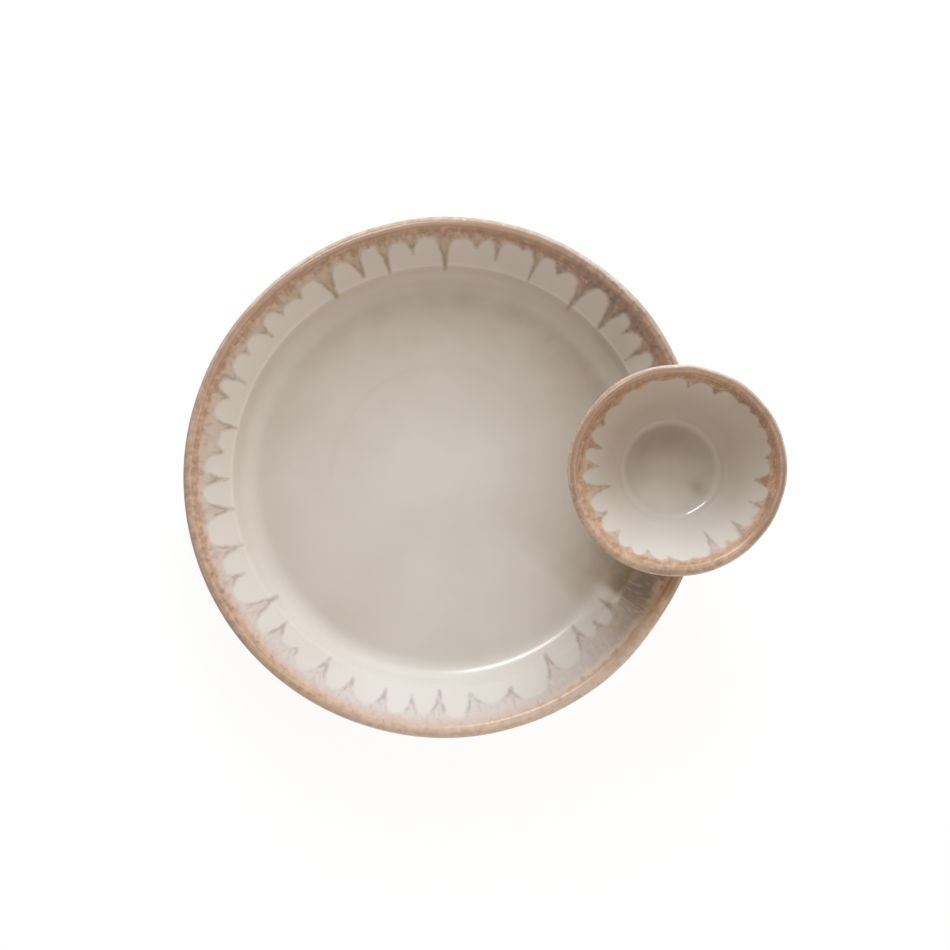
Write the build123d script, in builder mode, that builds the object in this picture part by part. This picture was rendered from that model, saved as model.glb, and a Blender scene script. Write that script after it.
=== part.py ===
from build123d import *

import os
from math import asin, degrees, radians, sqrt, tan

# Chip and dip server in fired stoneware: a round platter, and a footed dip bowl that sits astride its rim.
# Millimetres, +Z up.  The origin is on the platter's axis at table height, and the dip bowl stands on +X.
# A profile's points are a radius from the piece's own axis and a height above the table.

# Platter
platter_radius = 150.0  # outermost point of the rolled lip
platter_height = 42.0  # table to the crest of the lip
platter_wall = 7.0  # thickness of the floor and the wall
platter_lip_roll = 4.5  # radius of the rolled lip
cove_corner_radius = 116.5  # where the floor and the riser would meet without the cove
cove_round = 15.0  # inside curve between the floor and the riser
ridge_radius = 123.5  # thin ridge between the riser and the sloped flange
ridge_rise = 12.0  # height of that ridge above the floor
ridge_round = 2.0  # how softly the ridge is thrown
flange_back_round = 15.0  # sweep of the outside where the flange leaves the riser
sweep_share = 0.9  # most of the straight behind the riser that this sweep may take
platter_lip_hollow = 3.0  # hollow under the rolled lip
platter_foot_height = 6.0
platter_foot_radius = 100.0  # outside of the foot ring
platter_foot_width = 8.0
platter_foot_round = 1.5  # rounded edges that stand on the table

# Dip bowl
bowl_inset = 16.5  # bowl's axis inside the crest of the platter's lip
bowl_radius = 59.0  # outermost point of its lip
bowl_depth = 42.0  # crest of its lip to its floor
bowl_wall = 6.0  # thickness of the floor and the wall
bowl_lip_roll = 3.4  # radius of the rolled lip
bowl_lip_hollow = 3.0  # hollow under the rolled lip
bowl_corner_radius = 27.5  # where its floor and wall would meet without the curve
bowl_corner_round = 7.0  # inside curve between the floor and the wall
bowl_heel_round = 3.0  # hollow between the heel and the wall

# Saddle foot of the dip bowl
foot_top_radius = 32.0  # outside, where it meets the heel of the bowl
foot_waist = 1.5  # how far the outside draws in half way down
foot_flare = 2.5  # how far it spreads again where it stands
foot_wall = 6.0
foot_bridge = 4.0  # band of the foot left whole above the platter's lip
foot_edge_round = 1.8  # rounded standing edges

# Fits
seat_gap = 0.3  # foot to the platter's floor and to the crest of its lip
flange_gap = 0.8  # foot above the ridge and the flange
hook_gap = 1.0  # outside of the lip to the leg that hooks over it
cove_gap = 1.5  # start of the cove to the start of the slanted cut

# Heights and radii that follow
platter_floor = platter_foot_height + platter_wall
cove_corner = Vector(cove_corner_radius, platter_floor)
ridge = Vector(ridge_radius, platter_floor + ridge_rise)
platter_lip_centre = Vector(platter_radius, platter_height) - Vector(platter_lip_roll, platter_lip_roll)
bowl_offset = platter_lip_centre.X - bowl_inset
foot_stand = platter_floor + seat_gap
saddle_top = platter_height + seat_gap
bowl_underside = saddle_top + foot_bridge
bowl_floor = bowl_underside + bowl_wall
bowl_corner = Vector(bowl_corner_radius, bowl_floor)
bowl_lip_centre = Vector(bowl_radius, bowl_floor + bowl_depth) - Vector(bowl_lip_roll, bowl_lip_roll)
foot_bottom_radius = foot_top_radius - foot_waist + foot_flare
foot_middle = (bowl_underside + foot_stand) / 2

bowl_section = Plane(origin=(bowl_offset, 0, 0), x_dir=(1, 0, 0), z_dir=(0, -1, 0))
bowl_axis = Axis((bowl_offset, 0, 0), (0, 0, 1))

os.makedirs("parts", exist_ok=True)


def onto_lip(start, centre, roll):
    """The point where a straight wall from start runs smoothly onto the top of a rolled lip."""
    reach = centre - start
    swing = degrees(asin(roll / reach.length))
    run = sqrt(reach.length**2 - roll**2)
    return start + reach.normalized().rotate(Axis.Z, swing) * run


def behind(start, end, wall):
    """The point on the outside of a straight wall that lies square behind its start."""
    return start + (end - start).normalized().rotate(Axis.Z, -90) * wall


def corner_reach(before, after, radius):
    """How far a curve of this radius reaches from a corner, along the sides before and after it."""
    return radius * tan(radians(before.get_angle(after)) / 2)


platter_lip_start = onto_lip(ridge, platter_lip_centre, platter_lip_roll)
bowl_lip_start = onto_lip(bowl_corner, bowl_lip_centre, bowl_lip_roll)
bowl_side = bowl_lip_start - bowl_corner

# Outside of the ridge: its corner, and the largest sweep that the straight behind the riser has room for
riser = ridge - cove_corner
flange = platter_lip_start - ridge
ridge_mitre = corner_reach(riser, flange, platter_wall)
flange_back = behind(ridge, platter_lip_start, platter_wall) + flange.normalized() * ridge_mitre
riser_back = riser.length - corner_reach(Vector(1, 0), riser, cove_round) - ridge_mitre
flange_back_limit = sweep_share * riser_back / corner_reach(riser, flange, 1)

# Platter dish: floor, cove, riser, ridge, flange and rolled lip, thrown as one wall
with BuildPart() as platter_dish:
    with BuildSketch(Plane.XZ) as dish_profile:
        with BuildLine() as dish_inside:
            cove_to_lip = FilletPolyline(
                (0, platter_floor),
                cove_corner,
                ridge,
                platter_lip_start,
                radius=[cove_round, ridge_round],
            )
            offset(amount=platter_wall, side=Side.RIGHT)
        make_face()
        with Locations(platter_lip_centre):
            Circle(platter_lip_roll)
        flange_back_corner = dish_profile.vertices().sort_by_distance(flange_back)[0]
        fillet(flange_back_corner, min(flange_back_round, flange_back_limit))
        lip_back = behind(platter_lip_start, platter_lip_start + flange, platter_wall)
        fillet(dish_profile.vertices().sort_by_distance(lip_back)[0], platter_lip_hollow)
    revolve(axis=Axis.Z)
platter_dish.part.label = "platter_dish"
export_step(platter_dish.part, "parts/platter_dish.step")

# Foot ring of the platter, luted to the flat of the underside
with BuildPart() as platter_foot_ring:
    with BuildSketch(Plane.XZ) as ring_profile:
        with Locations((platter_foot_radius, 0)):
            Rectangle(platter_foot_width, platter_foot_height, align=(Align.MAX, Align.MIN))
        fillet(ring_profile.vertices().group_by(Axis.Y)[0], platter_foot_round)
    revolve(axis=Axis.Z)
platter_foot_ring.part.label = "platter_foot_ring"
export_step(platter_foot_ring.part, "parts/platter_foot_ring.step")

# Cup of the dip bowl, with a flat heel as wide as the top of its foot
with BuildPart() as dip_bowl_cup:
    with BuildSketch(bowl_section) as cup_profile:
        with BuildLine() as cup_inside:
            FilletPolyline((0, bowl_floor), bowl_corner, bowl_lip_start, radius=bowl_corner_round)
            offset(amount=bowl_wall, side=Side.RIGHT)
        make_face()
        with Locations(bowl_lip_centre):
            Circle(bowl_lip_roll)
        lip_back = behind(bowl_lip_start, bowl_lip_start + bowl_side, bowl_wall)
        fillet(cup_profile.vertices().sort_by_distance(lip_back)[0], bowl_lip_hollow)
        with Locations((0, bowl_underside)):
            Rectangle(foot_top_radius, bowl_wall, align=(Align.MIN, Align.MIN))
        heel_side = cup_profile.edges().filter_by(Axis.Y).sort_by(Axis.X)[-1]
        fillet(heel_side.vertices().sort_by(Axis.Y)[-1], bowl_heel_round)
    revolve(axis=bowl_axis)
dip_bowl_cup.part.label = "dip_bowl_cup"
export_step(dip_bowl_cup.part, "parts/dip_bowl_cup.step")

# Saddle foot: a waisted ring, cut on a slant to clear the flange, seated on the lip and hooked over it
cove_start = cove_to_lip.vertices().sort_by(Axis.X)[1].X
with BuildPart() as dip_bowl_saddle_foot:
    with BuildSketch(bowl_section) as foot_profile:
        with BuildLine() as foot_outline:
            foot_outside = ThreePointArc(
                (foot_top_radius, bowl_underside),
                (foot_top_radius - foot_waist, foot_middle),
                (foot_bottom_radius, foot_stand),
            )
            Polyline(
                foot_outside @ 1,
                (foot_bottom_radius - foot_wall, foot_stand),
                (foot_top_radius - foot_wall, bowl_underside),
                foot_outside @ 0,
            )
        make_face()
        fillet(foot_profile.vertices().group_by(Axis.Y)[0], foot_edge_round)
    revolve(axis=bowl_axis)
    with BuildSketch(Plane.XZ) as saddle_cut:
        with BuildLine() as saddle_outline:
            Polyline(
                (cove_start - cove_gap, 0),
                (cove_start - cove_gap, foot_stand),
                ridge + Vector(0, flange_gap),
                (platter_lip_start.X, saddle_top),
                (platter_radius + hook_gap, saddle_top),
                (platter_radius + hook_gap, 0),
                close=True,
            )
        make_face()
    revolve(axis=Axis.Z, mode=Mode.SUBTRACT)
dip_bowl_saddle_foot.part.label = "dip_bowl_saddle_foot"
export_step(dip_bowl_saddle_foot.part, "parts/dip_bowl_saddle_foot.step")
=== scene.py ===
"""Chip and dip server in hand-thrown stoneware: a round platter, and a footed dip bowl astride its rim.

The platter, its foot ring and the cup are thrown in code as closed meshes about their own axes, and the
saddle foot is cut from a distance field.  Each carries the glaze on it as attributes of its points: where the
poured rim glaze lies, how far each run of it has come, and how it was fired there, some of that painted shade
and light.  The materials read those attributes.  Lengths are in metres, glaze distances in millimetres.
"""

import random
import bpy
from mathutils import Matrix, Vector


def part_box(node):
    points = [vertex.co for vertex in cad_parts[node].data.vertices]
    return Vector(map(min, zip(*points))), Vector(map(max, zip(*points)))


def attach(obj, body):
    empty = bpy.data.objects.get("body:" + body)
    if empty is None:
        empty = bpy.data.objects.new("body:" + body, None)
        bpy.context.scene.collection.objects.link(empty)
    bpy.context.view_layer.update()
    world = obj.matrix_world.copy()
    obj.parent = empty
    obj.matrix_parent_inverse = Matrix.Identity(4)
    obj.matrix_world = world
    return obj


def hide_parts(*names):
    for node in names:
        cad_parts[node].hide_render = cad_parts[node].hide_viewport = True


bl_info = {
    "name": "Chip and Dip Server",
    "version": (1, 0, 0),
    "blender": (4, 5, 0),
    "location": "View3D > Sidebar > Chip and Dip",
    "description": "Throws and glazes a stoneware platter and the dip bowl that hangs on its rim",
    "category": "Add Mesh",
}

from math import acos, asin, ceil, cos, log2, pi, radians, sin, sqrt, tan

import bpy
import numpy as np
from bpy.props import FloatProperty, FloatVectorProperty, PointerProperty
from bpy.types import Operator, Panel, PropertyGroup
from mathutils import Vector
from mathutils.kdtree import KDTree

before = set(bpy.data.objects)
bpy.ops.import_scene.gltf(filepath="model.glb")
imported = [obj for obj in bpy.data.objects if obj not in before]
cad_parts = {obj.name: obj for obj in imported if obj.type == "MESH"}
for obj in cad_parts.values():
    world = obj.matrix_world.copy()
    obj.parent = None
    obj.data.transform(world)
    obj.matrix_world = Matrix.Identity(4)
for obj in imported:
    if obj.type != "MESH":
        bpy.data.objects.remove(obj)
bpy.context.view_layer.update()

MM = 0.001
dish_low, dish_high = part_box("platter_dish")
_, ring_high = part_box("platter_foot_ring")
cup_low, cup_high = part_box("dip_bowl_cup")
foot_low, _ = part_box("dip_bowl_saddle_foot")

# The surfaces: how far the rim glaze stands up, the relief of glaze and clay, and the gloss as roughness
GLAZE_THICKNESS = 0.06 * MM
GLAZE_RELIEF = 0.12 * MM
CLAY_RELIEF = 0.3 * MM
GLAZE_IOR = 1.52
PLATTER_GLOSS = 0.23
BOWL_GLOSS = 0.08
FOOT_GLOSS = 0.2
# How wide the bowl's band of rim glaze is, as a share of the platter's, and in millimetres how much lower the
# band hangs on the outside, and how far the bare clay reaches up from the foot's cut edges
BOWL_BAND = 1.7
OUTSIDE_DROP = 5.0
WAX_REACH = 2.2

# The spiral that the thrower left on the platter's floor, and the one turn in it that stands prouder
SPIRAL_PITCH = 9 * MM
SPIRAL_DEPTH = 0.015 * MM
SPIRAL_START = 30 * MM
PROUD_START = 63 * MM
PROUD_GAIN = 8 * MM
PROUD_WIDTH = 1.5 * MM
PROUD_HEIGHT = 0.12 * MM
PROUD_SIDE = radians(115)
# How far the foot ring's edges wander, how deep it and the saddle foot reach into what they are fused to, and
# how the edges are rounded where pieces are fused
RING_WANDER = 0.12 * MM
FUSED_RING = 0.6 * MM
FUSED_FOOT = 0.4 * MM
FUSED_EDGE = 0.2 * MM

# How fine the meshes are: the step along a section where it is glazed and elsewhere, the step round it as a
# share of that, the radius within which a ring is one point on the axis, the most points in a ring, which is
# 7 times a power of two, the points in the foot ring's section, and the saddle foot's grid
PLATTER_STEPS = (1.0 * MM, 2.2 * MM)
BOWL_STEPS = (0.8 * MM, 1.6 * MM)
STEP_ROUND = 1.2
ON_AXIS = 0.001 * MM
PLATTER_RING = 896
BOWL_RING = 448
FOOT_RING = 448
FOOT_SECTION = 39
FOOT_GRID = 0.6 * MM
# How many points trace a section before it is stepped, and the edge of the glaze where distances are measured
SECTION_TICKS = 20000
EDGE_POINTS = 9000

# The stage: half the floor's side in metres, and the light of the surroundings as shares of the setting, even
# and growing towards +X, +Y and +Z
FLOOR_HALF = 4.0
AMBIENT_EVEN = 1.24
AMBIENT_TILT = (0.40, -0.30, -0.62)

# Runs of glaze on the inside of the platter: degrees round from the dip bowl, and how far the tip comes in
# from the crest of the lip, in millimetres.  A third number is the height of a broad run's far side.
PLATTER_RUNS = (
    (2, 24), (10, 27), (17, 22), (25, 25), (31, 21), (37, 14), (42, 22), (52, 25), (59, 12), (65, 22),
    (69, 8), (75, 17), (80, 12), (88, 25), (96, 15), (103, 23), (110, 20), (119, 24), (127, 13, 11),
    (133, 13), (139, 17), (146, 13), (153, 18), (158, 13), (165, 22, 15), (172, 17), (179, 21), (187, 22),
    (197, 22), (204, 17), (214, 26), (221, 22, 15), (228, 16), (236, 21), (244, 18), (253, 18), (260, 18),
    (267, 22), (275, 19, 12), (286, 18), (298, 26, 13), (309, 31, 18), (314, 24, 17), (320, 31, 20),
    (328, 31, 18), (337, 26), (345, 23), (353, 27),
)
# The same on the inside of the dip bowl
BOWL_RUNS = (
    (6, 7), (15, 5), (26, 6), (36, 5), (45, 6), (61, 8), (80, 9), (96, 5), (111, 6), (129, 7), (147, 9),
    (162, 14), (176, 15), (193, 20), (210, 12), (226, 11), (238, 7), (249, 9), (264, 7), (280, 6),
    (295, 17), (304, 8), (316, 13), (326, 7), (335, 11), (351, 12),
)

# What each piece's glaze did in the fire, with some painted shade and light, all round from the side of the
# dip bowl.  A row has the degrees and a value for each of FIRED: dark blotches in the rim glaze, gold in it,
# lilac in its runs, umber (dark brown) in them, how far the body glaze pooled, partly painted shade on the
# side away from the lamps and beside the dip bowl, and how pale the lip came out, partly painted light where
# it catches the lamps.
FIRED = ("blotch", "gold", "lilac", "umber", "pool", "pale")
PLATTER_FIRING_AND_SHADING = (
    (0, 1.2, 0.4, 0.1, 0.6, 0.65, 0.2), (35, 2.6, 0.35, 0.1, 0.8, 0.75, 0.5),
    (48, 2.6, 0.35, 0.1, 0.75, 0.7, 1.0), (62, 1.8, 0.35, 0.1, 0.45, 0.62, 0.85),
    (80, 1.25, 0.3, 0.0, 0.25, 0.6, 0.55), (100, 1.15, 0.4, 0.0, 0.25, 0.58, 0.5),
    (125, 1.1, 0.3, 0.1, 0.25, 0.5, 0.7), (150, 0.9, 0.2, 0.3, 0.15, 0.38, 0.35),
    (180, 0.65, 0.1, 0.5, 0.1, 0.25, 0.1), (210, 0.5, 0.2, 0.8, 0.0, 0.2, 0.1),
    (235, 0.15, 1.0, 1.0, 0.0, 0.18, 0.5), (260, -0.1, 0.6, 1.0, 0.0, 0.05, 0.9),
    (292, -0.3, 0.6, 0.8, 0.0, 0.05, 1.0), (312, -0.8, 0.6, 0.8, 0.1, 0.15, 1.0),
    (320, -0.6, 0.7, 0.4, 0.5, 0.45, 0.9), (326, 0.3, 0.8, 0.1, 1.0, 0.65, 0.4),
    (333, 1.1, 0.8, 0.0, 1.15, 0.7, 0.2), (345, 0.8, 0.7, 0.0, 0.95, 0.7, 0.3),
)
BOWL_FIRING_AND_SHADING = (
    (0, 1.7, 0.9, 0.1, 0.4, 0.5, 0.6), (45, 2.0, 0.6, 0.1, 0.5, 0.6, 0.9),
    (90, 1.2, 0.5, 0.1, 0.3, 0.68, 1.0), (135, 1.6, 0.3, 0.1, 0.15, 0.68, 0.5),
    (185, 0.9, 0.4, 0.1, 0.1, 0.5, 0.5), (225, 0.5, 0.6, 0.4, 0.0, 0.15, 0.3),
    (260, 0.8, 0.3, 0.9, 0.0, 0.1, 0.6), (300, 0.6, 0.5, 0.9, 0.0, 0.25, 1.0),
    (330, 1.1, 0.6, 0.4, 0.3, 0.45, 0.8),
)
# How deep the body glaze pooled, partly painted shade where the walls keep light off the floors: radius in
# millimetres, then the share of the most
PLATTER_POOLING_AND_SHADE = (
    (0, 0.0), (25, 0.05), (50, 0.28), (75, 0.5), (95, 0.8), (104, 1.0), (108, 0.95), (112, 0.55), (118, 0.32),
    (124, 0.26), (146, 0.26),
)
BOWL_POOLING_AND_SHADE = ((0, 1.0), (20, 1.0), (24.5, 0.95), (27.5, 0.3), (31, 0.3), (36, 0.5), (52, 0.5))

# How far the rim runs out of round and out of level as it was thrown: degrees, then millimetres
PLATTER_OUTLINE = (
    (0, 0.0), (18, 0.0), (40, 1.4), (60, 0.9), (88, 0.0), (104, -0.8), (125, -1.0), (150, -0.4), (180, 0.1),
    (216, 0.6), (250, 0.4), (272, 0.7), (288, 0.4), (304, 0.1), (325, -1.0), (342, 0.0),
)
PLATTER_LEVEL = (
    (0, 0.0), (20, 0.0), (55, 0.4), (100, -0.3), (150, 0.3), (205, -0.4), (250, 0.3), (300, -0.3), (340, 0.0),
)
BOWL_OUTLINE = (
    (0, 1.4), (20, 1.4), (45, 0.5), (70, -1.0), (90, -1.5), (135, -0.7), (180, 1.1), (225, 0.8),
    (270, -0.5), (290, -0.3), (315, 0.0), (335, 0.6),
)
BOWL_LEVEL = ((0, 0.2), (70, -0.3), (140, 0.1), (200, -0.2), (290, -0.5))


# ----------------------------------------
# Sizes and colours that a user may change


def size(name, description, default):
    return FloatProperty(
        name=name, description=description, default=default, unit="LENGTH", subtype="DISTANCE", min=0.0
    )


def angle(name, description, default):
    return FloatProperty(name=name, description=description, default=radians(default), subtype="ANGLE")


def power(name, description, default):
    return FloatProperty(name=name, description=description, default=default, unit="POWER")


def colour(name, description, default):
    return FloatVectorProperty(
        name=name, description=description, default=default, subtype="COLOR", size=3, min=0.0, max=1.0
    )


class PlatterSizes(PropertyGroup):
    """The platter's section; its radius and height are the model's"""

    radius: size("Radius", "Outermost point of the rolled lip", dish_high.y)
    height: size("Height", "Table to the crest of the lip", dish_high.z)
    wall: size("Wall", "Thickness of the floor and the wall", 0.007)
    lip_roll: size("Lip roll", "Radius of the rolled lip", 0.0045)
    cove_corner: size("Cove corner", "Radius where floor and riser would meet without the cove", 0.1165)
    cove_round: size("Cove", "Inside curve between the floor and the riser", 0.015)
    ridge_radius: size("Ridge radius", "Radius of the ridge between the riser and the flange", 0.1235)
    ridge_rise: size("Ridge rise", "Height of that ridge above the floor", 0.012)
    ridge_round: size("Ridge round", "How softly the ridge is thrown", 0.002)
    back_round: size("Back round", "Sweep of the outside where the flange leaves the riser", 0.015)
    lip_hollow: size("Lip hollow", "Hollow under the rolled lip", 0.003)
    foot_height: size("Foot height", "Height of the foot ring", dish_low.z)
    foot_radius: size("Foot radius", "Outside of the foot ring", ring_high.y)
    foot_width: size("Foot width", "Width of the foot ring", 0.008)


class BowlSizes(PropertyGroup):
    """The dip bowl's section; its place, radius and heights are the model's"""

    offset: size("Offset", "Axis of the dip bowl from the platter's axis", (cup_low.x + cup_high.x) / 2)
    radius: size("Radius", "Outermost point of the rolled lip", cup_high.y)
    height: size("Height", "Table to the crest of the lip", cup_high.z)
    underside: size("Underside", "Table to the underside of the cup", cup_low.z)
    wall: size("Wall", "Thickness of the floor and the wall", 0.006)
    lip_roll: size("Lip roll", "Radius of the rolled lip", 0.0034)
    corner: size("Corner", "Radius where floor and wall would meet without the curve", 0.0275)
    corner_round: size("Corner round", "Inside curve between the floor and the wall", 0.007)
    lip_hollow: size("Lip hollow", "Hollow under the rolled lip", 0.003)
    heel: size("Heel", "Radius of the heel, and of the foot where it joins", 0.032)
    heel_round: size("Heel round", "Hollow between the heel and the wall", 0.006)


class FootSizes(PropertyGroup):
    """The saddle foot of the dip bowl"""

    stand: size("Stand", "Table to the standing edge", foot_low.z)
    waist: size("Waist", "How far the outside draws in half way down", 0.0015)
    flare: size("Flare", "How far it spreads again where it stands", 0.0025)
    wall: size("Wall", "Thickness of the foot", 0.006)
    bridge: size("Bridge", "Band left whole above the platter's lip", 0.004)
    edge_round: size("Edge round", "Rounding of the cut and standing edges", 0.0018)
    flange_gap: size("Flange gap", "Foot above the ridge and the flange", 0.0008)
    hook_gap: size("Hook gap", "Outside of the lip to the leg that hooks over it", 0.001)
    cove_gap: size("Cove gap", "Start of the cove to the start of the slanted cut", 0.0015)


class GlazeColours(PropertyGroup):
    """Colours of the glazes and of the bare clay"""

    cream: colour("Cream", "Body glaze", (0.77, 0.705, 0.64))
    cream_shade: colour("Cream shade", "Body glaze where it lies thin", (0.71, 0.645, 0.57))
    # Pooled also paints shade into the body glaze
    pooled_and_shaded: colour("Pooled", "Body glaze where it pooled deepest", (0.32, 0.23, 0.135))
    terracotta: colour("Terracotta", "Rim glaze", (0.64, 0.37, 0.22))
    rust: colour("Rust", "Stripe and blotches in the rim glaze", (0.32, 0.15, 0.075))
    gold: colour("Gold", "Rim glaze where it breaks to gold", (0.74, 0.455, 0.20))
    # Peach is also the colour of painted light on the lip
    peach: colour("Peach", "Lip and inner fringe where the rim glaze fired pale", (0.85, 0.68, 0.56))
    # A painted sheen: light on the outside of the lip, in grey
    lip_sheen: colour("Ash", "Outside of the lip where the fire was hottest", (0.60, 0.52, 0.46))
    # Edge brown darkens the outside under the lip
    edge_brown: colour("Edge brown", "Rim glaze where it is thinnest, under the lip", (0.30, 0.21, 0.15))
    blush: colour("Blush", "Inner fringe of the rim glaze", (0.64, 0.47, 0.40))
    tan: colour("Tan", "Runs of the rim glaze over the body glaze", (0.58, 0.435, 0.29))
    lilac: colour("Lilac", "Runs on the front, where they fired paler", (0.69, 0.60, 0.555))
    plum: colour("Plum", "Edges and specks of the paler runs", (0.47, 0.37, 0.36))
    olive: colour("Olive", "Edges and tips of the runs", (0.38, 0.30, 0.175))
    scorched: colour("Scorched", "Rim glaze where the fire was hottest", (0.16, 0.09, 0.06))
    umber: colour("Umber", "Edges and streaks of the runs beside the dip bowl", (0.23, 0.165, 0.11))
    clay: colour("Clay", "Bare stoneware", (0.46, 0.35, 0.25))
    clay_speck: colour("Clay speck", "Grog and iron in the bare stoneware", (0.22, 0.14, 0.09))


class StudioSettings(PropertyGroup):
    """The camera, the lamps and the surroundings"""

    camera_x: size("Camera X", "Camera's place over the table, towards the dip bowl", 0.01807)
    camera_y: size("Camera Y", "Camera's place over the table", 0.00043)
    camera_height: size("Camera height", "Camera above the table", 1.142)
    camera_turn: angle("Camera turn", "Turn of the camera about the upright", -1.75)
    lens: FloatProperty(name="Lens", description="Focal length", default=72.6, min=1.0, unit="CAMERA")
    lamp_distance: size("Lamp distance", "Lamps to the middle of the platter", 1.6)
    window_power: power("Window power", "Power of the window lamp", 24.5)
    window_azimuth: angle("Window azimuth", "Side that the window lamp stands on, from +X", 84)
    window_zenith: angle("Window zenith", "Lean of the window lamp from the upright", 62)
    window_width: size("Window width", "Width of the window lamp", 1.2)
    window_height: size("Window height", "Height of the window lamp", 1.2)
    window_colour: colour("Window colour", "Cool daylight of the window lamp", (0.83, 0.915, 1.0))
    glint_power: power("Glint power", "Power of the strip lamp that the glaze mirrors", 10.0)
    glint_azimuth: angle("Glint azimuth", "Side that the strip lamp stands on, from +X", 110)
    glint_zenith: angle("Glint zenith", "Lean of the strip lamp from the upright", 45)
    glint_width: size("Glint width", "Width of the strip lamp", 0.6)
    glint_height: size("Glint height", "Height of the strip lamp", 0.2)
    ambient: FloatProperty(name="Ambient", description="Light of the surroundings", default=0.615, min=0.0)
    ambient_colour: colour("Ambient colour", "Warm light thrown back by the room", (1.0, 0.91, 0.82))


# ----------------------------------------
# Sections: a section is a path of points, each a radius from the piece's axis and a height above the table


def unit(vector):
    return vector / np.linalg.norm(vector)


def turned_right(vector):
    return np.array((vector[1], -vector[0]))


def crossing(a, towards_a, b, towards_b):
    """The point where the line from a meets the line from b."""
    along = np.linalg.solve(np.column_stack((towards_a, -towards_b)), b - a)
    return a + towards_a * along[0]


def arc(centre, radius, start, end, points):
    """Points on a circle, from the side of start to the side of end."""
    first, last = (np.arctan2(*(spot - centre)[::-1]) for spot in (start, end))
    return [centre + radius * np.array((cos(turn), sin(turn))) for turn in np.linspace(first, last, points)]


def rounded(corners, rounds, points=24):
    """A path through corners, each inner corner rounded to its radius."""
    path = [corners[0]]
    for before, corner, after, radius in zip(corners, corners[1:], corners[2:], rounds):
        back, on = unit(before - corner), unit(after - corner)
        half = acos(back @ on) / 2
        centre = corner + unit(back + on) * radius / sin(half)
        start, end = (corner + way * radius / tan(half) - centre for way in (back, on))
        swing = pi - 2 * half
        for share in np.linspace(0, 1, points):
            path.append(centre + (sin((1 - share) * swing) * start + sin(share * swing) * end) / sin(swing))
    path.append(corners[-1])
    return path


def lip_centre(sizes):
    """The middle of the rolled lip of the platter or the bowl."""
    return np.array((sizes.radius, sizes.height)) - sizes.lip_roll


def onto_lip(start, sizes):
    """The point where a straight wall from start runs smoothly onto the top of the rolled lip."""
    reach = lip_centre(sizes) - start
    length = np.linalg.norm(reach)
    swing = asin(sizes.lip_roll / length)
    towards = unit(reach) * cos(swing) - turned_right(unit(reach)) * sin(swing)
    return start + towards * sqrt(length**2 - sizes.lip_roll**2)


def thrown_wall(sizes, inside, inside_rounds, outside):
    """A closed section: out from the axis along the inside, over the rolled lip, and back along the outside.

    inside has the inside's corners below the lip, from the floor on.  outside(back, climb) takes the outside
    of the wall below the lip, a point and a direction, and returns the corners from there to the axis, and
    their rounds.
    """
    centre, roll, hollow = lip_centre(sizes), sizes.lip_roll, sizes.lip_hollow
    lip_start = onto_lip(inside[-1], sizes)
    climb = unit(lip_start - inside[-1])
    side = turned_right(climb)
    back = inside[-1] + side * sizes.wall

    # The hollow under the lip touches the outside of the wall and the roll of the lip
    to_lip = centre - (back + side * hollow)
    reach = to_lip @ climb - sqrt((roll + hollow) ** 2 - (to_lip @ side) ** 2)
    hollow_centre = back + side * hollow + climb * reach
    tuck_start = centre + unit(hollow_centre - centre) * roll
    tuck_end = hollow_centre - side * hollow

    axis = np.array((0.0, inside[0][1]))
    path = rounded([axis, *inside, lip_start], inside_rounds)[:-1]
    path += arc(centre, roll, lip_start, tuck_start, points=60)
    path += arc(hollow_centre, hollow, tuck_start, tuck_end, points=12)[1:]
    corners, rounds = outside(back, climb)
    return np.array([*path, *rounded([tuck_end, *corners], rounds)[1:]])


def path_lengths(path):
    """How far along a path each of its points lies."""
    return np.concatenate(([0], np.cumsum(np.linalg.norm(np.diff(path, axis=0), axis=1))))


def read_along(path, lengths, at):
    """The points that lie at given lengths along a path."""
    return np.column_stack([np.interp(at, lengths, path[:, k]) for k in (0, 1)])


def stepped(path, crest, glazed_from, glazed_to, fine, coarse):
    """Points along a path, a fine step apart in the glazed stretch round the crest and coarser elsewhere.

    Returns the points, their distance before the crest in metres, and the step at each.
    """
    lengths = path_lengths(path)
    ticks = np.linspace(0, lengths[-1], SECTION_TICKS)
    dense = read_along(path, lengths, ticks)
    crest_at = ticks[np.argmin(np.linalg.norm(dense - crest, axis=1))]
    before = crest_at - ticks
    step = np.where((before < glazed_from) & (before > glazed_to), fine, coarse)
    gathered = np.concatenate(([0], np.cumsum(np.diff(ticks) / step[1:])))
    at = np.interp(np.linspace(0, gathered[-1], ceil(gathered[-1]) + 1), gathered, ticks)
    return read_along(dense, ticks, at), crest_at - at, np.interp(at, ticks, step)


def normals_of(points):
    """The outward normals of a path that goes out along the inside and back along the outside."""
    run = np.gradient(points, axis=0)
    run /= np.linalg.norm(run, axis=1)[:, None]
    return np.column_stack((-run[:, 1], run[:, 0]))


# ----------------------------------------
# Values read over a piece


def smooth(value, low, high):
    """Eases from 0 at low to 1 at high; high may be the lower of the two."""
    share = np.clip((value - low) / (high - low), 0, 1)
    return share * share * (3 - 2 * share)


def around(angles, readings, column=1):
    """A value read smoothly round the piece from a short table whose rows start with the degrees."""
    at, values = np.array(readings)[:, (0, column)].T
    at = np.concatenate((at[-1:] - 360, at, at[:1] + 360))
    values = np.pad(values, 1, mode="wrap")
    where = np.degrees(angles) % 360
    after = np.clip(np.searchsorted(at, where, side="right"), 1, len(at) - 1)
    before = after - 1
    return values[before] + (values[after] - values[before]) * smooth(where, at[before], at[after])


def bell(distance, width):
    """1 at no distance, dying away over the width on either side."""
    return np.exp(-((distance / width) ** 2))


def turned(angles, radius, height):
    """Points round an upright axis."""
    return np.column_stack((radius * np.cos(angles), radius * np.sin(angles), height))


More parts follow.
